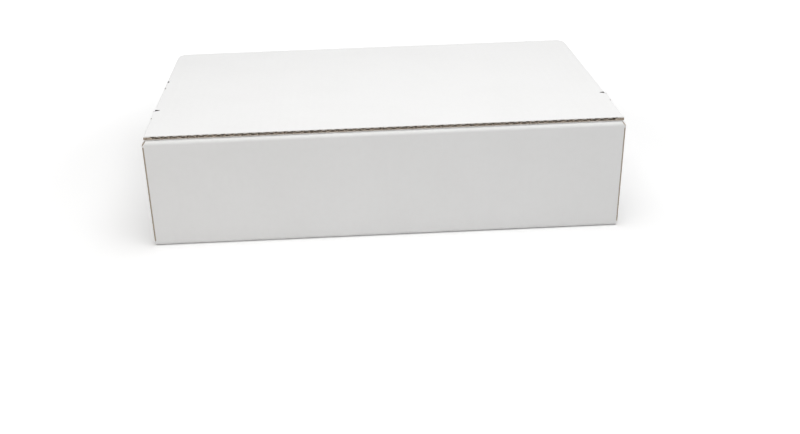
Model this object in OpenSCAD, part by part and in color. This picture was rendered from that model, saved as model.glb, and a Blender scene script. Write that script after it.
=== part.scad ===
// Self-seal shipping box, erected and closed, folded from white corrugated board.
// Millimetres. X runs along the front, Y from front to back, Z up.
// The origin is on the surface that the box stands on, under the middle of the box.
// Flutes run front to back in the base, the lid and the flaps.

/* [Inside of the box] */
// Clear width between the two side walls
inner_w = 350; // [260:1:450]
// Clear depth between the front and back walls
inner_d = 205; // [170:1:300]
// Clear height between the base and the dust flaps
inner_h = 76; // [45:1:150]

/* [Corrugated board] */
// Thickness of the board
board_t = 3; // [2.5:0.1:4]
// Thickness of the paper liner on each face
liner_t = 0.4; // [0.25:0.05:0.6]
// Thickness of the waved paper between the liners
medium_t = 0.3; // [0.2:0.05:0.4]
// Distance from one flute to the next
flute_pitch = 6.4; // [5:0.1:8]
// Solid strip along a cut that runs beside the flutes
crushed_edge = 2; // [1.5:0.1:4]
// Radius on the inside of a fold
fold_r = 0.4; // [0.2:0.1:1]
// Width of the bevel that the cutting die leaves on a panel's side edges
edge_bevel_w = 1.3; // [0.5:0.1:1.6]
// Depth of that bevel into the board
edge_bevel_t = 1.2; // [0.8:0.1:2]
// Width of the strip that is pressed thinner along a flap's or the lid's side
pressed_w = 0.8; // [0.4:0.1:1.4]
// How far each face goes down at that pressed side
pressed_t = 0.5; // [0.2:0.1:0.8]
// Length beside a fold over which the flutes are crushed flat
crease_solid = 3; // [2:0.5:5]

/* [Play] */
// Air between two panels that lie on each other without glue
lay_gap = 0.2; // [0.1:0.05:0.5]
// Air between the lid and the closing flap, which takes the seal strip
lid_gap = 0.3; // [0.25:0.05:0.6]
// Air in the crease between the back wall and the lid
crease_gap = 0.3; // [0.2:0.05:0.5]
// Relief cut where two folds meet at a corner
corner_relief = 0.8; // [0.5:0.1:2]

/* [Closing flap] */
// Depth of the flap that folds in from the front wall
closing_flap_d = 105; // [70:1:130]
// Corner cut off the front wall and its top fold, at 45 degrees
front_chamfer = 3; // [2:0.5:8]
// Slant of that cut through the board, which turns its raw edge forwards
chamfer_slant = 15; // [0:1:20]
// How far the flap's side lies in from the end of that fold
closing_flap_inset = 0.5; // [0.3:0.1:3]
// Radius of the flap's two free corners
closing_flap_corner_r = 12; // [5:1:20]
// Depth of the half-round finger notch in each side of the flap
finger_notch_d = 10; // [6:0.5:14]
// Width of the finger notch along the flap's side
finger_notch_w = 22; // [16:0.5:30]

/* [Dust flaps] */
// Depth of the flap that folds in from each side wall
dust_flap_d = 105; // [60:1:120]
// How far each end of a dust flap tapers in
dust_flap_taper = 6; // [2:0.5:12]

/* [Glue tabs] */
// Length of the tab that is glued behind the front and back walls
glue_tab_l = 35; // [20:1:50]
// Slope cut off the tab's free end, top and bottom
glue_tab_slope = 6; // [2:0.5:12]

/* [Lid] */
// How far the lid is narrower than the front wall on each side
lid_inset = 1.5; // [0.5:0.1:3]
// How far the lid's front edge stays behind the face of the front wall
lid_setback = 2; // [0:0.1:4]
// Distance from the lid's front edge to the tear tab
tear_tab_start = 38.5; // [34:0.5:50]
// Length of the tear tab along the lid's side
tear_tab_l = 17.5; // [12:0.5:24]
// How far the rear end of the tear tab stands out past the lid's side edge
tear_tab_out = 1.2; // [0.6:0.1:2]
// How far its front end stands out
tear_tab_front_out = 0.4; // [0.2:0.1:1]
// Length of the wedge-shaped slit behind the tear tab
rear_slit_l = 3.8; // [2:0.1:6]
// Width of that slit where it opens at the edge
rear_slit_w = 2.8; // [1:0.1:4]
// Length of the small slit in front of the tear tab
front_slit_l = 1.3; // [0.8:0.1:3]
// Width of that slit where it opens at the edge
front_slit_w = 0.8; // [0.5:0.1:2]
// How far the back wall is cut in at the ends of the crease, as the lid is
crease_end_inset = 6; // [4:0.1:9]
// Distance from the crease over which the lid's side is cut in
crease_end_l = 12; // [8:0.5:20]
// Distance from the front edge to the first of two small nicks in the lid's left side
nick_start = 109.5; // [80:0.5:130]
// Distance from the first nick to the second
nick_spacing = 17; // [6:0.5:30]
// Depth of a nick
nick_d = 1.2; // [0.6:0.1:2]
// Width of a nick at the edge
nick_w = 4; // [2:0.5:8]

/* [Seal and tear tape] */
// Distance from the lid's front edge to the seal strip
seal_start = 8; // [6:0.5:12]
// Width of the adhesive strip
adhesive_w = 12; // [8:0.5:16]
// Thickness of the adhesive strip
adhesive_t = 0.12; // [0.1:0.01:0.14]
// Width of the release liner over the adhesive
release_w = 15; // [12:0.5:19]
// Thickness of the release liner
release_t = 0.08; // [0.06:0.01:0.1]
// How far the adhesive strip stops short of the lid's side
seal_end_gap = 8; // [4:0.5:20]
// Width of the tear tape
tear_tape_w = 5.5; // [4:0.5:8]
// Thickness of the tear tape
tear_tape_t = 0.1; // [0.06:0.01:0.12]
// How far the tear tape stops short of the tear tab's edge
tear_tape_end_gap = 1; // [0:0.5:10]

/* [Hidden] */
$fn = 48;
// Length by which the solids of neighbouring panels run into each other
lap = 1;
// Colours of the board and of the two tapes
board_white = [0.93, 0.93, 0.92];
release_pale = [0.97, 0.95, 0.88];
glue_clear = [0.90, 0.88, 0.78];
tape_red = [0.93, 0.62, 0.56];
// Outer radius of a fold
fold_R = fold_r + board_t;
// Outer size of the box
outer_w = inner_w + 2 * board_t;
outer_d = inner_d + 2 * board_t;
front_y = -outer_d / 2;
back_y = outer_d / 2;
// Heights of the upper faces, one panel above the other
side_top = board_t + inner_h + board_t;
front_top = side_top + lay_gap + board_t;
lid_under = front_top + lid_gap;
lid_top = lid_under + board_t;
// Ends of the side walls, which stand behind the front and back walls
side_end_y = outer_d / 2 - board_t - fold_R;
// Half width of the closing flap
closing_half_w = outer_w / 2 - front_chamfer - closing_flap_inset;
closing_edge_y = front_y + closing_flap_d;
// Front edge of the lid, and half widths of the lid and of its crease
lid_front_y = front_y + lid_setback;
lid_half_w = outer_w / 2 - lid_inset;
crease_half_w = outer_w / 2 - crease_end_inset;
// The tear tape runs over the middle of the tear tab, and the finger notch lies under it
tear_tab_mid = tear_tab_start + tear_tab_l / 2;
tear_tab_mid_out = (tear_tab_front_out + tear_tab_out) / 2;
// Radius of the circle that cuts a notch of the given width and depth
finger_notch_r = (pow(finger_notch_w / 2, 2) + pow(finger_notch_d, 2)) / (2 * finger_notch_d);
// Where the open flutes of the lid and of the closing flap end at their folds
lid_flute_end = back_y - fold_R - crease_solid;
flap_flute_start = front_y + fold_R + crease_solid;
// Phase up to which an air channel reaches before glue fills it, and its number of steps
channel_phase = 140;
channel_steps = 6;

// Height of the middle of the waved paper above the lower face, for a phase in degrees
function wave_z(phase) = board_t / 2 - (board_t / 2 - liner_t - medium_t / 2) * cos(phase);

// One air channel over a trough of the wave, closed above by the upper liner
module channel_2d() {
    half = channel_phase / 360 * flute_pitch;
    floor_line = [for (i = [0 : channel_steps])
        let (phase = channel_phase * (2 * i / channel_steps - 1))
        [phase / 360 * flute_pitch, wave_z(phase) + medium_t / 2]];
    polygon(concat(floor_line, [[half, board_t - liner_t], [-half, board_t - liner_t]]));
}

// All air channels of a panel of width w, centred on x = 0
module channels_2d(w) {
    count = floor((w - 2 * crushed_edge) / flute_pitch);
    for (i = [0 : count - 1])
        translate([(i - (count - 1) / 2) * flute_pitch, 0])
            channel_2d();
    for (i = [0 : count - 2])
        translate([(i - (count - 2) / 2) * flute_pitch, board_t])
            mirror([0, 1])
                channel_2d();
}

// Cross-section of a panel of width w whose two sides are pressed thinner
module panel_2d(w) {
    a = w / 2;
    polygon([[-a, pressed_t], [-a + pressed_w, 0], [a - pressed_w, 0], [a, pressed_t],
             [a, board_t - pressed_t], [a - pressed_w, board_t], [-a + pressed_w, board_t],
             [-a, board_t - pressed_t]]);
}

// A flat panel with open flutes from y0 to y1, from x0 to x1, its lower face at z
module fluted_panel(x0, x1, y0, y1, z) {
    w = x1 - x0;
    translate([(x0 + x1) / 2, y1, z])
        rotate([90, 0, 0])
            linear_extrude(y1 - y0)
                difference() {
                    panel_2d(w);
                    channels_2d(w);
                }
}

// A solid box between two corners
module block(low, high) {
    translate(low)
        cube(high - low);
}

// Cross-section of a fold in its first quadrant, about the centre of its radii.
// A straight leg of the board goes down from one end and to the left from the other.
module fold_2d(leg = lap) {
    intersection() {
        difference() {
            circle(fold_R);
            circle(fold_r);
        }
        square(fold_R + 1);
    }
    translate([fold_r, -lap])
        square([board_t, lap]);
    translate([-leg, fold_r])
        square([leg, board_t]);
}

// An extrusion along X of a section that is drawn in Y and Z
module along_x(half_w) {
    translate([-half_w, 0, 0])
        rotate([90, 0, 90])
            linear_extrude(2 * half_w)
                children();
}

// An extrusion along Y of a section that is drawn in X and Z
module along_y(half_d) {
    translate([0, half_d, 0])
        rotate([90, 0, 0])
            linear_extrude(2 * half_d)
                children();
}

// The base with its front and back folds, and the folds of the side walls
module base_panel() {
    block([-(outer_w / 2 - fold_R), -(outer_d / 2 - fold_R), 0],
          [outer_w / 2 - fold_R, outer_d / 2 - fold_R, board_t]);
    for (side = [0, 1])
        mirror([0, side, 0])
            along_x(outer_w / 2 - corner_relief)
                translate([outer_d / 2 - fold_R, fold_R])
                    mirror([0, 1])
                        fold_2d();
}

// Outline of an upright panel's plan, with the bevel of the cutting die on its outer edges
module bevelled_plan_2d() {
    w = outer_w / 2;
    polygon([[-w + edge_bevel_w, 0], [w - edge_bevel_w, 0], [w, edge_bevel_t], [w, board_t],
             [-w, board_t], [-w, edge_bevel_t]]);
}

// The front wall, its rounded top fold and the closing flap that goes in from it
module front_wall_and_flap() {
    difference() {
        union() {
            translate([0, front_y, fold_R])
                linear_extrude(front_top - 2 * fold_R)
                    bevelled_plan_2d();
            along_x(outer_w / 2)
                translate([front_y + fold_R, front_top - fold_R])
                    mirror([1, 0])
                        fold_2d();
        }
        for (side = [0, 1])
            mirror([side, 0, 0])
                translate([outer_w / 2, front_y + fold_R / 2, front_top])
                    rotate([0, 45, 0])
                        rotate([chamfer_slant, 0, 0])
                            cube([front_chamfer * 2, fold_R + 2, front_chamfer * sqrt(2)],
                                 center = true);
    }
    block([-closing_half_w, front_y + fold_R - lap / 2, front_top - board_t],
          [closing_half_w, flap_flute_start + lap, front_top]);
    difference() {
        fluted_panel(-closing_half_w, closing_half_w, flap_flute_start, closing_edge_y,
                     front_top - board_t);
        for (side = [-1, 1]) {
            finger_notch(side);
            closing_flap_corner(side);
        }
    }
}

// The half-round notch in the closing flap under the lid's tear tab
module finger_notch(side) {
    translate([side * (closing_half_w - finger_notch_d + finger_notch_r),
               lid_front_y + tear_tab_mid, front_top - board_t - 1])
        cylinder(r = finger_notch_r, h = board_t + 2);
}

// What is cut off to round one free corner of the closing flap
module closing_flap_corner(side) {
    r = closing_flap_corner_r;
    translate([side * (closing_half_w - r), closing_edge_y - r, front_top - board_t - 1])
        linear_extrude(board_t + 2)
            mirror([side < 0 ? 1 : 0, 0])
                difference() {
                    square(r + 1);
                    circle(r);
                }
}

// The back wall up to the crease of the lid
module back_wall() {
    difference() {
        union() {
            translate([0, back_y, fold_R])
                linear_extrude(lid_top - 2 * fold_R)
                    mirror([0, 1])
                        bevelled_plan_2d();
            along_x(outer_w / 2)
                crease_half_2d();
        }
        for (side = [-1, 1])
            translate([side * outer_w / 2, back_y - fold_R / 2, lid_top])
                rotate([0, 45, 0])
                    cube([crease_end_inset * sqrt(2), fold_R + 2, crease_end_inset * sqrt(2)],
                         center = true);
    }
}

// The back wall's half of the mitred crease, drawn in Y and Z
module crease_half_2d() {
    difference() {
        translate([back_y - fold_R, lid_top - fold_R])
            fold_2d();
        translate([back_y, lid_top])
            rotate(45)
                translate([-3 * fold_R, -crease_gap / 2])
                    square([4 * fold_R, 3 * fold_R]);
    }
}

// The lid's half of the mitred crease, drawn in Y and Z
module lid_crease_half_2d() {
    difference() {
        translate([back_y - fold_R, lid_top - fold_R])
            fold_2d(crease_solid + lap);
        translate([back_y, lid_top])
            rotate(45)
                translate([-3 * fold_R, crease_gap / 2 - 3 * fold_R])
                    square([4 * fold_R, 3 * fold_R]);
    }
}

// One side wall with its folds, its dust flap and the glue tabs at its two ends
module side_wall() {
    x = outer_w / 2;
    along_y(side_end_y) {
        translate([x - fold_R, fold_R])
            mirror([0, 1])
                fold_2d();
        translate([x - board_t, fold_R])
            square([board_t, side_top - 2 * fold_R]);
        translate([x - fold_R, side_top - fold_R])
            fold_2d();
    }
    dust_flap();
    for (end = [0, 1])
        mirror([0, end, 0])
            glue_tab();
}

// The dust flap on top of a side wall, tapered at both ends
module dust_flap() {
    x = outer_w / 2;
    flap_x = x - dust_flap_d;
    difference() {
        fluted_panel(flap_x, x - fold_R, -side_end_y, side_end_y, side_top - board_t);
        for (end = [0, 1])
            mirror([0, end, 0])
                translate([0, 0, side_top - board_t - 1])
                    linear_extrude(board_t + 2)
                        polygon([[x - fold_R, side_end_y], [flap_x - 1, side_end_y - dust_flap_taper],
                                 [flap_x - 1, side_end_y + 1], [x - fold_R, side_end_y + 1]]);
    }
}

// The fold at the back end of a side wall and the tab glued behind the back wall
module glue_tab() {
    x = outer_w / 2 - fold_R;
    low = fold_R + corner_relief;
    high = side_top - board_t - corner_relief;
    y = outer_d / 2 - 2 * board_t;
    translate([x, side_end_y, low])
        linear_extrude(high - low)
            fold_2d();
    translate([0, y + board_t, 0])
        rotate([90, 0, 0])
            linear_extrude(board_t)
                polygon([[x, low], [x, high], [x - glue_tab_l, high - glue_tab_slope],
                         [x - glue_tab_l, low + glue_tab_slope]]);
}

// The folded and glued box without its lid
module carton() {
    color(board_white) {
        base_panel();
        front_wall_and_flap();
        back_wall();
        for (side = [0, 1])
            mirror([side, 0, 0])
                side_wall();
    }
}

// A wedge cut in from the lid's right side edge and through what stands out there
module side_nick(from_front, length, width) {
    out = tear_tab_out + 1;
    half = width * (length + out) / length / 2;
    translate([0, lid_front_y + from_front, lid_under - 1])
        linear_extrude(board_t + 2)
            polygon([[lid_half_w - length, 0], [lid_half_w + out, -half], [lid_half_w + out, half]]);
}

// The tear tab in the lid's right side, which stands out more at its rear end
module tear_tab() {
    translate([lid_half_w, lid_front_y + tear_tab_start, lid_under])
        linear_extrude(board_t)
            polygon([[-lap, 0], [tear_tab_front_out, 0], [tear_tab_out, tear_tab_l],
                     [-lap, tear_tab_l]]);
}

// The panel that swings up and back, with the tear tabs in its sides
module lid() {
    w = lid_half_w;
    color(board_white)
        difference() {
            union() {
                fluted_panel(-w, w, lid_front_y, lid_flute_end, lid_under);
                along_x(w)
                    lid_crease_half_2d();
                for (side = [0, 1])
                    mirror([side, 0, 0])
                        tear_tab();
            }
            for (side = [0, 1])
                mirror([side, 0, 0]) {
                    side_nick(tear_tab_start + tear_tab_l, rear_slit_l, rear_slit_w);
                    side_nick(tear_tab_start, front_slit_l, front_slit_w);
                    lid_crease_end();
                }
            mirror([1, 0, 0])
                for (i = [0, 1])
                    side_nick(nick_start + i * nick_spacing, nick_d, nick_w);
        }
}

// What is cut off the lid's side at the end of its crease
module lid_crease_end() {
    w = lid_half_w;
    c = crease_half_w;
    translate([0, 0, lid_under - 1])
        linear_extrude(board_t + 2)
            polygon([[w + 1, back_y - crease_end_l], [w, back_y - crease_end_l],
                     [w - (w - c) / 3, back_y - crease_end_l / 2], [c, back_y - fold_R],
                     [c, back_y + 1], [w + 1, back_y + 1]]);
}

// A thin tape across the underside of the lid
module tape(from_front, width, half_length, top, thickness) {
    block([-half_length, lid_front_y + from_front, top - thickness],
          [half_length, lid_front_y + from_front + width, top]);
}

// The strip of adhesive near the lid's front edge
module adhesive_strip() {
    color(glue_clear)
        tape(seal_start + (release_w - adhesive_w) / 2, adhesive_w, lid_half_w - seal_end_gap,
             lid_under, adhesive_t);
}

// The paper that covers the adhesive until the box is sealed
module release_liner() {
    color(release_pale)
        tape(seal_start, release_w, lid_half_w - seal_end_gap + 2, lid_under - adhesive_t,
             release_t);
}

// The coloured tape that tears the sealed lid open
module tear_tape() {
    color(tape_red)
        tape(tear_tab_mid - tear_tape_w / 2, tear_tape_w,
             lid_half_w + tear_tab_mid_out - tear_tape_end_gap, lid_under, tear_tape_t);
}

carton();
lid();
adhesive_strip();
release_liner();
tear_tape();
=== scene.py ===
# %% [markdown]
# # A flat shipping box of white corrugated board
#
# The box is one die-cut sheet, folded and glued into a tray, with a lid that hinges on the back wall.
# Its shape is exact already: walls, flaps, flutes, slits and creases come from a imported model, in metres.
# This lesson adds what a model of solids lacks: paper that looks like paper, brown cut edges, the paper
# that bends in the lid's crease, soft light, and a camera at a low angle over the front.

# %% Load the frame
import math

import bpy
from mathutils import Matrix, Vector


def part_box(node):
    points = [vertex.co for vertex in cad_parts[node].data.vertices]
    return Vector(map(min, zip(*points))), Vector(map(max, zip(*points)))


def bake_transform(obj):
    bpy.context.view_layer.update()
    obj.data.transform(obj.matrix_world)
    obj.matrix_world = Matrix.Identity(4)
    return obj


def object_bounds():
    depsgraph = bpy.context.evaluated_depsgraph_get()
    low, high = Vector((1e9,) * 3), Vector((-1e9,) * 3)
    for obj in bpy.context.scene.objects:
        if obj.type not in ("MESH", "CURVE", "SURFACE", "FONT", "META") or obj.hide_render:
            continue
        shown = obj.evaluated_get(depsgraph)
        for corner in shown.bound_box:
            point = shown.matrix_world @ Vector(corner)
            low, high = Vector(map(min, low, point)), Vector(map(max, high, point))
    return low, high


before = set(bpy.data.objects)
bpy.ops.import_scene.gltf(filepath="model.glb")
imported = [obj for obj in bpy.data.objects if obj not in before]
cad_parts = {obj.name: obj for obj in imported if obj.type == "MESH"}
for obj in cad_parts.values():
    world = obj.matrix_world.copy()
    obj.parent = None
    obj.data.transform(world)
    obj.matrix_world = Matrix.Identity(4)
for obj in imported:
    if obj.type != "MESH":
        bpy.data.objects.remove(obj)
cad_low, cad_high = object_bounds()
bpy.ops.object.select_all(action="DESELECT")
print("loaded", ", ".join(sorted(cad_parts)))

# %% [markdown]
# ## Sizes
#
# The patterns in the paper follow the board, so the script needs a few of the board's own sizes. The outer
# sizes are read from the frame. The sizes of the board itself are those of common 3 mm board, whose waves
# repeat every 6.4 mm. The gaps are what the folded panels leave between them, and the insets say how far a
# panel stops short of the box's side. All lengths are in metres, so millimetres are multiplied by MM.

# %% Sizes of the board and the box
MM = 0.001
BOARD = 3 * MM
LINER = 0.4 * MM
FLUTE = 6.4 * MM
CRUSHED_EDGE = 2 * MM
FOLD_INNER = 0.4 * MM
FOLD_OUTER = FOLD_INNER + BOARD
SEAL_GAP = 0.1 * MM
LAY_GAP = 0.2 * MM
LID_INSET = 1.5 * MM
CLOSING_FLAP_INSET = 3.5 * MM
CREASE_INSET = 6.2 * MM

HALF_W = cad_high.x
HALF_D = cad_high.y
LID_TOP = cad_high.z
LID_UNDER = LID_TOP - BOARD
FLAP_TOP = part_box("release_liner")[0].z - SEAL_GAP
FLAP_UNDER = FLAP_TOP - BOARD
DUST_FLAP_TOP = FLAP_UNDER - LAY_GAP
DUST_FLAP_UNDER = DUST_FLAP_TOP - BOARD
WALL_INNER = HALF_D - BOARD
FOLD_START = HALF_D - FOLD_OUTER
LID_HALF_W = HALF_W - LID_INSET
LID_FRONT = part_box("lid")[0].y
print(f"box {2 * HALF_W / MM:.1f} x {2 * HALF_D / MM:.1f} x {LID_TOP / MM:.1f} mm")

# %% [markdown]
# ## Shader maths as plain expressions
#
# A paper pattern is a sum of many small terms: grain, mottling, waves, cut edges. Wiring each Math node by
# hand hides the idea, so a small class wraps an output socket. Adding or multiplying two wrapped sockets
# adds the Math node that does it. One method, node, adds every other kind of node.

# %% A wrapper for shader sockets
class Wire:
    """An output socket of a shader node, with arithmetic that adds Math nodes beside it."""

    def __init__(self, socket):
        self.socket = socket

    def node(self, kind, inputs, output=0, **settings):
        """Adds a node, sets it up, gives its inputs values or wires, and wraps one of its outputs."""
        made = self.socket.id_data.nodes.new("ShaderNode" + kind)
        for name, value in settings.items():
            setattr(made, name, value)
        for name, value in inputs.items():
            plug(value, made.inputs[name])
        return Wire(made.outputs[output])

    def math(self, operation, *values):
        """Adds a Math node for one operation on plain values or wires."""
        return self.node("Math", dict(enumerate(values)), operation=operation)

    def __add__(self, other):
        return self.math("ADD", self, other)

    def __sub__(self, other):
        return self.math("SUBTRACT", self, other)

    def __rsub__(self, other):
        return self.math("SUBTRACT", other, self)

    def __mul__(self, other):
        return self.math("MULTIPLY", self, other)

    def __abs__(self):
        return self.math("ABSOLUTE", self)

    __radd__ = __add__
    __rmul__ = __mul__


def plug(value, socket):
    """Links a wire to a socket, or sets the socket to a plain value."""
    if isinstance(value, Wire):
        socket.id_data.links.new(value.socket, socket)
    else:
        socket.default_value = value


print("shader maths ready")

# %% [markdown]
# ## Masks
#
# A mask is 1 in one region and 0 elsewhere. Here each mask compares a coordinate or a part of the surface
# normal with an edge. A narrow smooth step between 0 and 1 keeps its border from looking like a staircase.

# %% Masks from a coordinate
def above(value, edge, soft):
    """1 where the value is over the edge, 0 where it is under, with a step of half width soft."""
    limits = {"Value": value, "From Min": edge - soft, "From Max": edge + soft}
    return value.node("MapRange", limits, interpolation_type="SMOOTHSTEP")


def below(value, edge, soft):
    """1 where the value is under the edge."""
    return 1 - above(value, edge, soft)


def between(value, low, high, soft):
    """1 where the value is between two edges."""
    return above(value, low, soft) * below(value, high, soft)


def either(first, second):
    """The larger of two masks."""
    return first.math("MAXIMUM", first, second)


def mix_colour(mask, first, second):
    """The first colour where the mask is 0 and the second where it is 1."""
    return mask.node("Mix", {0: mask, 6: first, 7: second}, output=2, data_type="RGBA")


def noise(point, size, detail=2.0, roughness=0.5):
    """Soft noise from 0 to 1 whose lumps are about the given size."""
    settings = {"Vector": point, "Scale": 1 / size, "Detail": detail, "Roughness": roughness}
    return point.node("TexNoise", settings)


def parts(vector):
    """The three numbers of a vector, each as a wire."""
    return [vector.node("SeparateXYZ", {0: vector}, output=axis) for axis in range(3)]


print("masks ready")

# %% [markdown]
# ## Starting a material
#
# Every material here starts the same way: a Principled shader, the point in the object's own coordinates
# and the surface normal in those coordinates. Values that are the same all over are set on the shader
# itself. Only what changes over the surface is linked.

# %% Start a material
def start_material(name, roughness, specular=0.5, **constants):
    """Returns a new material, its shader, and wires for the point and the normal on the object."""
    material = bpy.data.materials.new(name)
    material.use_nodes = True
    tree = material.node_tree
    shader = tree.nodes["Principled BSDF"]
    shader.inputs["Roughness"].default_value = roughness
    shader.inputs["Specular IOR Level"].default_value = specular
    for socket, value in constants.items():
        shader.inputs[socket.replace("_", " ")].default_value = value
    place = tree.nodes.new("ShaderNodeTexCoord")
    return material, shader, Wire(place.outputs["Object"]), Wire(place.outputs["Normal"])


def bump(height, distance):
    """A normal for a height from 0 to 1 that stands for a real relief of the given distance."""
    return height.node("Bump", {"Height": height, "Distance": distance, "Strength": 1.0})


print("materials can start")

# %% [markdown]
# ## White paper
#
# The face of the board is a bleached liner. It isn't one flat white: pulp settles in soft clouds a few
# centimetres wide, fibres make a grain of a few tenths of a millimetre, and the waves inside show through
# as faint ribs. The clouds and the grain go into the colour, the grain and the ribs into the relief. The
# ribs run from front to back on every panel but the side walls, where the sheet has turned on its side and
# they repeat with height.

# %% White paper
WHITE_PAPER = (0.888, 0.887, 0.883, 1)
CLOUDED_PAPER = (0.858, 0.856, 0.850, 1)
FIBRE = (0.72, 0.69, 0.63, 1)
CLOUD_SIZE = 55 * MM
MOTTLE_SIZE = 4 * MM
GRAIN_SIZE = 0.35 * MM
RIB_RELIEF = 0.035 * MM
GRAIN_RELIEF = 0.012 * MM
PAPER_ROUGHNESS = 0.62
PAPER_SPECULAR = 0.35


def paper_colour(point):
    """Bleached paper: soft clouds of pulp, mottling and a few darker fibres."""
    clouds = above(noise(point, CLOUD_SIZE, detail=3.0), 0.52, 0.22)
    mottle = above(noise(point, MOTTLE_SIZE, detail=4.0, roughness=0.65), 0.56, 0.2)
    fibres = above(noise(point, GRAIN_SIZE, detail=3.0, roughness=0.7), 0.70, 0.05)
    paper = mix_colour(0.45 * clouds + 0.35 * mottle, WHITE_PAPER, CLOUDED_PAPER)
    return mix_colour(0.35 * fibres, paper, FIBRE)


def ribs(along):
    """The waves inside the board as a height from 0 to 1 that repeats along a coordinate."""
    turn = along * (2 * math.pi / FLUTE)
    return 0.5 + 0.5 * turn.math("COSINE", turn)


def paper_relief(point, along):
    """The relief of the paper: faint ribs over the waves, and the grain of the fibres."""
    grain = noise(point, GRAIN_SIZE, detail=3.0, roughness=0.6)
    return bump(ribs(along) * RIB_RELIEF + grain * GRAIN_RELIEF, 1.0)


print("white paper ready")

# %% [markdown]
# ## Brown cut edges
#
# The two liners are bleached through, so their cut edges are two pale lines. The waved paper between them is
# brown, and so is what shows inside the flutes. A cut isn't clean: fibres stand out in short streaks along
# the edge, some pale and some dark. A fine noise makes the fibres and a coarser one the streaks.

# %% Cut edges
CUT_BROWN = (0.46, 0.38, 0.30, 1)
CUT_DARK = (0.15, 0.115, 0.085, 1)
CUT_PALE = (0.60, 0.54, 0.46, 1)
LINER_EDGE = (0.84, 0.82, 0.79, 1)
STREAK_SIZE = 0.9 * MM
FUZZ_SIZE = 0.18 * MM
CUT_EXTRA_ROUGHNESS = 0.30
EDGE_SOFT = 0.04 * MM


def cores(depth, *sheets):
    """1 between the two liners of each sheet, where the sheets are given by their faces' places."""
    masks = [between(depth, low + LINER, high - LINER, EDGE_SOFT) for low, high in sheets]
    return sum(masks[1:], masks[0])


def cut_colour(point, inside):
    """A cut through the board: pale liners, and inside brown paper with dark streaks and torn fibres."""
    streaks = above(noise(point, STREAK_SIZE, detail=3.0, roughness=0.6), 0.56, 0.14)
    fuzz = above(noise(point, FUZZ_SIZE, detail=2.0, roughness=0.7), 0.60, 0.12)
    brown = mix_colour(0.55 * streaks, CUT_BROWN, CUT_DARK)
    brown = mix_colour(0.40 * fuzz, brown, CUT_PALE)
    return mix_colour(inside, LINER_EDGE, brown)


print("cut edges ready")

# %% [markdown]
# ## Where the lid is cut
#
# On the lid the faces of the sheet look up or down, so each surface that looks sideways is a cut: the front
# edge, the sides, the slits and the nicks. In the crease the sheet turns down, and there only what looks
# along X is a cut. Inside the flutes a surface may look up as well, so depth under the face tells it apart.
#
# The front edge is what the eye meets first. The cutting die crushes the mouths of the flutes, but here they
# are open and in shade, so within a few millimetres of the front they carry painted light, a pale brown. The
# top of the cut there is painted in the liner's pale colour, partly for the liner that the die rolls over the
# edge and partly as painted light on the shaded arches of the tunnels. Dark dashes of painted shade run along
# the front, for the shade in the flutes. The slits beside the tear tabs and the two nicks at the left get a
# dark mark of painted shade: a wedge on each slit and a half oval on each nick, both measured from the lid's
# front edge.

# %% Material of the lid
TILT = 0.5
TILT_SOFT = 0.08
CORE_START = 0.75 * LINER
CORE_END = 0.9 * CRUSHED_EDGE
# Painted light and shade on the front cut: a pale brown in the flutes' mouths and dark dashes.
MOUTH_PAINTED_LIGHT = (0.90, 0.80, 0.70, 1)
DASH_SHADE_COLOUR = (0.16, 0.118, 0.085, 1)
DASH_SHADE_SHARE = 0.6
# Painted shade: the dark colour on the slits and nicks and on a rim round them.
SLIT_SHADE_COLOUR = (0.045, 0.042, 0.038, 1)
CUT_FACE = 0.05 * MM
MOUTH_DEPTH = 4 * MM
DASH_SIZE = 2.4 * MM
DASH_STRETCH = 0.5
# Painted light: how far down the front cut the liner's pale colour reaches, partly over shaded tunnels.
PAINTED_LIGHT_DEPTH = 0.85 * MM
REAR_SLIT = {"from_front": 56 * MM, "length": 3.8 * MM, "width": 2.8 * MM, "rim": 0.65 * MM}
FRONT_SLIT = {"from_front": 38.5 * MM, "length": 1.3 * MM, "width": 0.8 * MM, "rim": 0.2 * MM}
NEAR_NICK = {"from_front": 109.5 * MM, "reach": 1.9 * MM, "half_length": 3.2 * MM}
FAR_NICK = {"from_front": 126.5 * MM, "reach": 2.2 * MM, "half_length": 2.8 * MM}
# How strongly the painted shade goes on the front slits and the near nicks, and the edge of its oval.
FRONT_SLIT_SHADE_SHARE = 0.3
NEAR_NICK_SHADE_SHARE = 0.65
OVAL_SHADE_EDGE = 0.8
OVAL_SHADE_SOFT = 0.35


def core(height, low, high, sideways, half_w):
    """1 inside the flutes of a flat panel between two heights."""
    deep = between(height, low + CORE_START, high - CORE_START, EDGE_SOFT)
    return deep * below(sideways, half_w - CORE_END, EDGE_SOFT)


def finish_board(shader, point, along, cut, cut_paper):
    """Links the paper, its relief and the cuts to the shader."""
    plug(mix_colour(cut, paper_colour(point), cut_paper), shader.inputs["Base Color"])
    plug(PAPER_ROUGHNESS + CUT_EXTRA_ROUGHNESS * cut, shader.inputs["Roughness"])
    plug(paper_relief(point, along), shader.inputs["Normal"])


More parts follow.
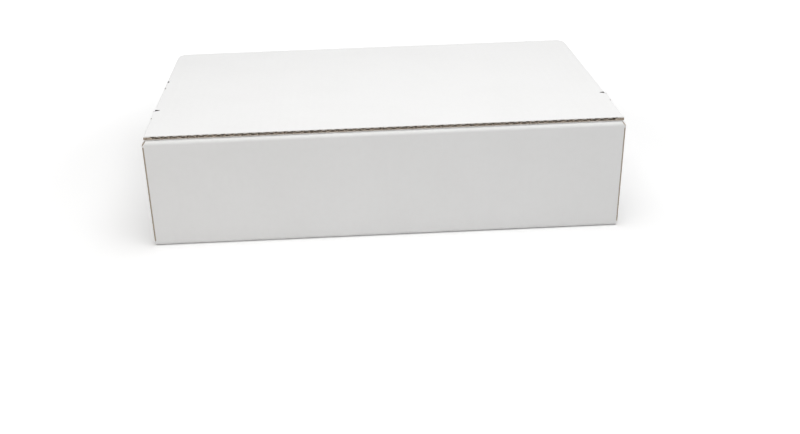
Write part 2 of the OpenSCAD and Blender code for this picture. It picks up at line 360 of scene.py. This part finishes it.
def lid_cut_colour(point):
    """The lid's cuts: brown, with painted light in the flutes' mouths and painted shade in dashes at the
    front.
    """
    x, y, z = parts(point)
    front = below(y, LID_FRONT + MOUTH_DEPTH, EDGE_SOFT)
    # Near the front the top of the cut takes the liner's pale colour: partly the liner rolled over the edge,
    # partly painted light on the tunnels' shaded arches.
    painted_light_top = front * above(z, LID_TOP - PAINTED_LIGHT_DEPTH, EDGE_SOFT)
    inside = cores(z, (LID_UNDER, LID_TOP)) * (1 - painted_light_top)
    mouth = between(y, LID_FRONT + CUT_FACE, LID_FRONT + MOUTH_DEPTH, EDGE_SOFT)
    # Painted shade: dark dashes along the front cut, for the shade in the flutes.
    stretched = point.node("CombineXYZ", {"X": x, "Y": 0.0, "Z": z * DASH_STRETCH})
    dashes = above(noise(stretched, DASH_SIZE, detail=1.0), 0.56, 0.06)
    # Painted light: the shaded mouths of the flutes are painted a pale brown.
    colour = mix_colour(mouth * inside, cut_colour(point, inside), MOUTH_PAINTED_LIGHT)
    return mix_colour(DASH_SHADE_SHARE * front * inside * dashes, colour, DASH_SHADE_COLOUR)


def wedge(point, from_front, length, width, rim):
    """1 in a wedge that is cut in from both of the lid's sides, and on a rim round it."""
    x, y, _ = parts(point)
    from_tip = abs(x) - (LID_HALF_W - length)
    from_middle = abs(y - (LID_FRONT + from_front))
    spare = from_tip * (width / 2 / length) - from_middle
    return above(spare, -rim, rim / 2) * above(from_tip, -rim / 2, rim / 2)


def nick_shade_oval(point, from_front, reach, half_length):
    """1 on a half oval at both of the lid's sides."""
    x, y, _ = parts(point)
    across = (LID_HALF_W - abs(x)) * (1 / reach)
    along = (y - (LID_FRONT + from_front)) * (1 / half_length)
    return below(across * across + along * along, OVAL_SHADE_EDGE, OVAL_SHADE_SOFT)


def painted_shade_at_cuts(point):
    """1 at the slits of the tear tabs and the nicks, where painted shade goes."""
    on_left = below(parts(point)[0], 0.0, EDGE_SOFT)
    slits = either(wedge(point, **REAR_SLIT), FRONT_SLIT_SHADE_SHARE * wedge(point, **FRONT_SLIT))
    nicks = either(NEAR_NICK_SHADE_SHARE * nick_shade_oval(point, **NEAR_NICK), nick_shade_oval(point, **FAR_NICK))
    return either(slits, nicks * on_left)


def lid_board():
    """White board with brown cuts, for the lid panel."""
    material, shader, point, normal = start_material("lid_board", PAPER_ROUGHNESS, PAPER_SPECULAR)
    x, y, z = parts(point)
    normal_x, _, normal_z = [abs(part) for part in parts(normal)]
    turned_down = above(y, FOLD_START, EDGE_SOFT)
    side_cut = turned_down * above(normal_x, TILT, TILT_SOFT)
    flat_cut = (1 - turned_down) * below(normal_z, TILT, TILT_SOFT)
    flutes = core(z, LID_UNDER, LID_TOP, abs(x), LID_HALF_W)
    cut = either(either(side_cut, flat_cut), flutes)
    cut_shade_mask = painted_shade_at_cuts(point)
    # Painted shade: the slits and the nicks are darkened.
    colour = mix_colour(cut_shade_mask, lid_cut_colour(point), SLIT_SHADE_COLOUR)
    finish_board(shader, point, x, either(cut, cut_shade_mask), colour)
    return material


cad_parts["lid"].material_slots[0].material = lid_board()
print("the lid has its board")

# %% [markdown]
# ## Where the tray is cut
#
# The tray's panels look in all directions, so which normal means a cut depends on the panel. Its regions
# are told apart by place. In the front and back walls and their folds a cut looks along X. At the height of
# the flaps a cut is whatever isn't level. Below them, the side walls end in cuts that look along Y, and the
# glue tabs behind the walls in cuts that look along Z or, at their free ends, along X.

# %% Material of the tray
TAB_INNER = WALL_INNER - BOARD
TAB_END = 150 * MM
FLUTES_END = FOLD_START - 2 * MM
PLACE_SOFT = 0.1 * MM


def tray_cuts(point, normal):
    """1 on every cut edge of the tray."""
    x, y, z = parts(point)
    x = abs(x)
    y = abs(y)
    normal_x, normal_y, normal_z = [above(abs(part), TILT, TILT_SOFT) for part in parts(normal)]
    in_wall = above(y, WALL_INNER - PLACE_SOFT, EDGE_SOFT)
    in_tab = above(y, TAB_INNER - 2 * PLACE_SOFT, PLACE_SOFT)
    high = above(z, DUST_FLAP_UNDER - PLACE_SOFT, EDGE_SOFT)
    over_floor = above(z, FOLD_OUTER + 5 * PLACE_SOFT, PLACE_SOFT)
    past_flap = above(x, HALF_W - FOLD_OUTER, EDGE_SOFT)
    flap_cuts = (1 - past_flap) * (1 - normal_z) + past_flap * normal_y
    side_cuts = (1 - in_tab) * normal_y
    tab_cuts = in_tab * over_floor * either(normal_z, normal_x * below(x, TAB_END, PLACE_SOFT))
    corner_cuts = in_tab * (1 - over_floor) * normal_x
    low_cuts = side_cuts + tab_cuts + corner_cuts
    inside_cuts = high * flap_cuts + (1 - high) * low_cuts
    return in_wall * normal_x + (1 - in_wall) * inside_cuts


def tray_flutes(point):
    """1 inside the flutes of the closing flap and the dust flaps."""
    x, y, z = parts(point)
    closing = core(z, FLAP_UNDER, FLAP_TOP, abs(x), HALF_W - CLOSING_FLAP_INSET)
    dust = core(z, DUST_FLAP_UNDER, DUST_FLAP_TOP, abs(x), HALF_W - FOLD_OUTER)
    return either(closing, dust) * below(abs(y), FLUTES_END, PLACE_SOFT)


def tray_cores(point):
    """1 between the liners of whichever of the tray's sheets the point is in."""
    x, y, z = parts(point)
    x = abs(x)
    y = abs(y)
    in_end_sheets = above(y, TAB_INNER - 2 * PLACE_SOFT, PLACE_SOFT)
    high = above(z, DUST_FLAP_UNDER - PLACE_SOFT, EDGE_SOFT)
    in_wall = above(y, WALL_INNER - PLACE_SOFT, EDGE_SOFT)
    walls = cores(y, (TAB_INNER, WALL_INNER), (WALL_INNER, HALF_D + LINER))
    flaps = cores(z, (DUST_FLAP_UNDER, DUST_FLAP_TOP), (FLAP_UNDER, FLAP_TOP))
    sides = cores(x, (HALF_W - BOARD, HALF_W))
    low = in_end_sheets * walls + (1 - in_end_sheets) * sides
    return in_wall * walls + (1 - in_wall) * (high * flaps + (1 - high) * low)


def tray_board():
    """White board with brown cuts, for the folded and glued tray."""
    material, shader, point, normal = start_material("tray_board", PAPER_ROUGHNESS, PAPER_SPECULAR)
    x, _, z = parts(point)
    side_wall = above(abs(x), HALF_W - BOARD - PLACE_SOFT, PLACE_SOFT)
    upright = above(abs(parts(normal)[0]), TILT, TILT_SOFT)
    along = x + side_wall * upright * (z - x)
    cut = either(tray_cuts(point, normal), tray_flutes(point))
    finish_board(shader, point, along, cut, cut_colour(point, tray_cores(point)))
    return material


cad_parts["carton"].material_slots[0].material = tray_board()
print("the tray has its board")

# %% [markdown]
# ## Adhesive, release paper and tear tape
#
# Three narrow tapes lie under the lid. The adhesive is a clear, slightly yellow film that has trapped small
# bubbles. The release paper over it has a smooth silicone coat, so it shines and shows its cross grain. The
# tear tape is a thin pale red film whose long threads let it cut through the board.

# %% Materials of the tapes
ADHESIVE = (0.80, 0.76, 0.60, 1)
ADHESIVE_BUBBLE = (0.88, 0.86, 0.76, 1)
ADHESIVE_ROUGHNESS = 0.22
BUBBLE_SIZE = 0.8 * MM
BUBBLE_RELIEF = 0.01 * MM
RELEASE_PALE = (0.90, 0.87, 0.77, 1)
RELEASE_DEEP = (0.82, 0.79, 0.69, 1)
RELEASE_ROUGHNESS = 0.28
RELEASE_GRAIN = 0.5 * MM
RELEASE_CLOUD = 12 * MM
RELEASE_STRETCH = 0.12
RELEASE_RELIEF = 0.008 * MM
TEAR_DEEP = (0.86, 0.46, 0.41, 1)
TEAR_PALE = (0.90, 0.58, 0.52, 1)
TEAR_ROUGHNESS = 0.24
THREAD_PITCH = 0.55 * MM
FLECK_SIZE = 1.5 * MM
THREAD_RELIEF = 0.015 * MM


def adhesive_film():
    """A clear, slightly yellow film with small bubbles."""
    material, shader, point, _ = start_material("adhesive_film", ADHESIVE_ROUGHNESS)
    bubbles = above(noise(point, BUBBLE_SIZE, detail=2.0), 0.62, 0.06)
    plug(mix_colour(bubbles, ADHESIVE, ADHESIVE_BUBBLE), shader.inputs["Base Color"])
    plug(ADHESIVE_ROUGHNESS + 0.25 * bubbles, shader.inputs["Roughness"])
    plug(bump(bubbles, BUBBLE_RELIEF), shader.inputs["Normal"])
    return material


def release_paper():
    """Yellowish paper with a smooth coat and a cross grain."""
    material, shader, point, _ = start_material("release_paper", RELEASE_ROUGHNESS, Coat_Weight=0.35)
    x, y, z = parts(point)
    cross = point.node("CombineXYZ", {"X": x * RELEASE_STRETCH, "Y": y, "Z": z})
    grain = noise(cross, RELEASE_GRAIN, detail=3.0)
    clouds = noise(point, RELEASE_CLOUD, detail=2.0)
    colour = mix_colour(0.6 * grain + 0.4 * clouds, RELEASE_PALE, RELEASE_DEEP)
    plug(colour, shader.inputs["Base Color"])
    plug(RELEASE_ROUGHNESS + 0.12 * clouds, shader.inputs["Roughness"])
    plug(bump(grain, RELEASE_RELIEF), shader.inputs["Normal"])
    return material


def tear_film():
    """A thin red film with long threads."""
    material, shader, point, _ = start_material("tear_film", TEAR_ROUGHNESS)
    turn = parts(point)[1] * (2 * math.pi / THREAD_PITCH)
    threads = 0.5 + 0.5 * turn.math("SINE", turn)
    flecks = noise(point, FLECK_SIZE, detail=3.0)
    colour = mix_colour(0.5 * threads + 0.3 * flecks, TEAR_DEEP, TEAR_PALE)
    plug(colour, shader.inputs["Base Color"])
    plug(TEAR_ROUGHNESS + 0.15 * flecks, shader.inputs["Roughness"])
    plug(bump(threads, THREAD_RELIEF), shader.inputs["Normal"])
    return material


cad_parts["adhesive_strip"].material_slots[0].material = adhesive_film()
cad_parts["release_liner"].material_slots[0].material = release_paper()
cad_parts["tear_tape"].material_slots[0].material = tear_film()
print("the three tapes have their films")

# %% [markdown]
# ## Paper in the lid's crease
#
# A lid of board doesn't turn on a pin. The sheet is crushed along a line, and its two liners bend there.
# The solids of the tray and the lid meet in a mitre, which would gape when the lid opens, so two strips of
# paper close it. Each starts as one edge of a plane and is extruded along a path, as if the paper were
# pushed round the fold by hand. It is then given its thickness.

# %% A strip of paper along a path
PAPER = 0.04 * MM
PROUD = 0.03 * MM
SMOOTH_ANGLE = math.radians(50)
CREASE_HALF_W = HALF_W - CREASE_INSET


def paper_strip(name, path):
    """A thin strip of paper along X through the points (y, z) of a path."""
    start_y, start_z = path[0]
    centre = (0, start_y + CREASE_HALF_W, start_z)
    bpy.ops.mesh.primitive_plane_add(size=2 * CREASE_HALF_W, location=centre)
    strip = bpy.context.object
    strip.name = name
    bpy.ops.object.transform_apply(location=True, rotation=True, scale=True)
    bpy.ops.object.mode_set(mode="EDIT")
    bpy.ops.mesh.select_all(action="DESELECT")
    bpy.ops.object.mode_set(mode="OBJECT")
    for vertex in strip.data.vertices:
        vertex.select = vertex.co.y > start_y + CREASE_HALF_W
    bpy.ops.object.mode_set(mode="EDIT")
    bpy.ops.mesh.delete(type="VERT")
    bpy.ops.mesh.select_all(action="SELECT")
    for (y0, z0), (y1, z1) in zip(path, path[1:]):
        step = {"value": (0, y1 - y0, z1 - z0)}
        bpy.ops.mesh.extrude_edges_move(TRANSFORM_OT_translate=step)
    bpy.ops.mesh.select_all(action="SELECT")
    bpy.ops.mesh.normals_make_consistent(inside=False)
    bpy.ops.object.mode_set(mode="OBJECT")
    return strip


def give_thickness(strip):
    """Makes a strip a closed sheet with smooth bends."""
    bpy.ops.object.modifier_add(type="SOLIDIFY")
    strip.modifiers[-1].thickness = PAPER
    strip.modifiers[-1].offset = 0
    bpy.ops.object.modifier_apply(modifier=strip.modifiers[-1].name)
    bpy.ops.object.shade_smooth_by_angle(angle=SMOOTH_ANGLE)
    print(f"{strip.name}: {len(strip.data.polygons)} faces")


def crease_paper():
    """White paper without cuts, for the strips in the crease."""
    material, shader, point, _ = start_material("crease_paper", PAPER_ROUGHNESS, PAPER_SPECULAR)
    plug(paper_colour(point), shader.inputs["Base Color"])
    plug(paper_relief(point, parts(point)[0]), shader.inputs["Normal"])
    return material


crease_material = crease_paper()
print("paper strips can be made")

# %% [markdown]
# ## The outer liner over the crease
#
# The outer liner follows the round outside of the fold, just proud of the solids and inside the box's outer
# size.

# %% Outer liner
ARC_START = math.radians(10)
ARC_END = math.radians(80)
ARC_STEPS = 20
outer_radius = FOLD_OUTER + PROUD
fold_centre = (FOLD_START, LID_TOP - FOLD_OUTER)


def on_fold(angle, radius):
    """The point (y, z) at an angle on the fold."""
    return fold_centre[0] + radius * math.cos(angle), fold_centre[1] + radius * math.sin(angle)


def arc_path(radius, start, end, steps):
    """Points along the fold from one angle to another."""
    return [on_fold(start + (end - start) * i / steps, radius) for i in range(steps + 1)]


outer_liner = paper_strip("crease_outer_liner", arc_path(outer_radius, ARC_START, ARC_END, ARC_STEPS))
give_thickness(outer_liner)
outer_liner.data.materials.append(crease_material)
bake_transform(outer_liner)

# %% [markdown]
# ## The inner liner in the crease
#
# When the lid is shut, the inner liner has more paper than the corner needs, and the surplus is pinched
# into the crease as a narrow pleat. As the lid swings back, the pleat is pulled out over the corner. The
# path goes up the inside of the back wall, into the mitre, back out and along the underside of the lid.

# %% Inner liner
PLEAT_STEPS = 28
PLEAT_HALF = 0.09 * MM
TAIL = 3 * MM
SWING = math.radians(200)
MITRE = math.radians(45)
hinge = Vector((HALF_D, LID_TOP))
corner_reach = math.sqrt(2) * BOARD


def pleat_reach(share):
    """Distance of the pleat from the hinge line, which keeps the opened fold as thick as the board."""
    angle = abs(share - 0.5) * SWING
    return min(BOARD / max(math.cos(max(angle - MITRE, 0)), 0.5), corner_reach)


def pleat_path():
    """The points (y, z) of the inner liner with the lid shut."""
    along = Vector((-1, -1)).normalized()
    across = Vector((-1, 1)).normalized()
    path = [(WALL_INNER - PROUD, LID_UNDER - TAIL)]
    for i in range(PLEAT_STEPS + 1):
        share = i / PLEAT_STEPS
        point = hinge + along * pleat_reach(share) + across * PLEAT_HALF * (2 * share - 1)
        path.append((point.x, point.y))
    path.append((WALL_INNER - TAIL, LID_UNDER - PROUD))
    return path


inner_liner = paper_strip("crease_inner_liner", pleat_path())
give_thickness(inner_liner)
inner_liner.data.materials.append(crease_material)
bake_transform(inner_liner)

# %% [markdown]
# ## Floor
#
# The box stands on a plain floor that shows its soft shadow. The floor that lights the box is pale grey, but
# seen by the camera it is whiter and glows, more so further off, where the lamp reaches less. So it is pure
# white where nothing shades it, as studio paper is. The world is white to the camera too, while the box gets
# only a weak grey light from it. The whiter looks are for camera, glossy and transmission rays alone, so they
# add no light to the box.

# %% Floor and world
FLOOR_COLOUR = (0.86, 0.86, 0.86, 1)
NEAR_GLOW = 0.06
FAR_GLOW = 0.9
GLOW_START = 0.22
GLOW_END = 0.65
FLOOR_SIZE = 8
BLACK = (0, 0, 0, 1)
WHITE = (1, 1, 1, 1)
AMBIENT_GREY = (0.25, 0.25, 0.25, 1)


def seen_directly(wire):
    """1 for rays from the camera, or seen in gloss or through glass."""
    rays = wire.node("LightPath", {})
    node = rays.socket.node
    camera, glossy, passed = [Wire(node.outputs["Is " + kind]) for kind in
                              ("Camera Ray", "Glossy Ray", "Transmission Ray")]
    return either(either(camera, glossy), passed)


def floor_material():
    """Pale grey paper that is white and glows to the camera."""
    material, shader, point, _ = start_material("studio_floor", 0.8, specular=0.2)
    seen = seen_directly(point)
    distance = point.node("VectorMath", {0: point}, output="Value", operation="LENGTH")
    far = above(distance, (GLOW_START + GLOW_END) / 2, (GLOW_END - GLOW_START) / 2)
    glow = NEAR_GLOW + (FAR_GLOW - NEAR_GLOW) * far
    plug(mix_colour(seen, FLOOR_COLOUR, WHITE), shader.inputs["Base Color"])
    plug(mix_colour(glow * seen, BLACK, WHITE), shader.inputs["Emission Color"])
    shader.inputs["Emission Strength"].default_value = 1
    return material


bpy.ops.mesh.primitive_plane_add(size=FLOOR_SIZE, location=(0, 0, 0))
floor = bpy.context.object
floor.name = "studio_floor"
floor.data.materials.append(floor_material())

world = bpy.data.worlds.new("studio")
world.use_nodes = True
bpy.context.scene.world = world
background = world.node_tree.nodes["Background"]
seen = seen_directly(Wire(background.outputs["Background"]))
plug(mix_colour(seen, AMBIENT_GREY, WHITE), background.inputs["Color"])
print("floor and world ready")

# %% [markdown]
# ## Light
#
# One large soft box hangs over the front of the box. It lights the lid more than the front, as in a studio
# sweep, and its size gives the shadow a wide, soft border. A weak, warm lamp stands low at the left of the
# front, so the front wall is a little warmer than the lid. The pale world fills the rest.

# %% Lamps
def soft_box(name, location, target, size, energy, colour=(1, 1, 1)):
    """A square area lamp that looks at a target."""
    bpy.ops.object.light_add(type="AREA", location=location)
    lamp = bpy.context.object
    lamp.name = name
    lamp.data.shape = "SQUARE"
    lamp.data.size = size
    lamp.data.energy = energy
    lamp.data.color = colour
    aim = Vector(target) - Vector(location)
    lamp.rotation_euler = aim.to_track_quat("-Z", "Y").to_euler()


FILL_WARM = (1.0, 0.90, 0.78)
soft_box("overhead_box", location=(0.06, -0.225, 1.05), target=(0, 0, 0), size=1.1, energy=10.6)
soft_box("fill_box", location=(-0.55, -0.44, 0.16), target=(-0.1, -0.1, 0.04), size=0.35,
         energy=0.22, colour=FILL_WARM)
print("lamps ready")

# %% [markdown]
# ## Camera
#
# The camera stands in front, a little to the left, and looks down at about 26 degrees. It was turned
# slightly, so the box leans: its right side stands higher in the picture. The picture's middle lies
# a little beside the lens axis, so the view has a small sideways shift.

# %% Camera
CAMERA_AT = Vector((-34.0, -783.8, 347.2)) * MM
CAMERA_VIEW = Vector((0.0264, 0.8986, -0.4379))
CAMERA_ROLL = math.radians(-1.79)
LENS = 44.61
SENSOR_WIDTH = 36
SHIFT_X = 0.039
CLIP_START = 0.01

bpy.ops.object.camera_add(location=CAMERA_AT)
camera = bpy.context.object
camera.data.sensor_width = SENSOR_WIDTH
camera.data.lens = LENS
camera.data.shift_x = SHIFT_X
camera.data.clip_start = CLIP_START
level = CAMERA_VIEW.to_track_quat("-Z", "Y").to_matrix()
camera.rotation_euler = (level @ Matrix.Rotation(CAMERA_ROLL, 3, "Z")).to_euler()
bpy.context.scene.camera = camera
bpy.context.scene.view_settings.view_transform = "Standard"
print("camera ready")

# %% [markdown]
# ## Finish
#
# The dressed box has to keep the size of the imported model.

# %% Finish
bpy.ops.object.select_all(action="DESELECT")
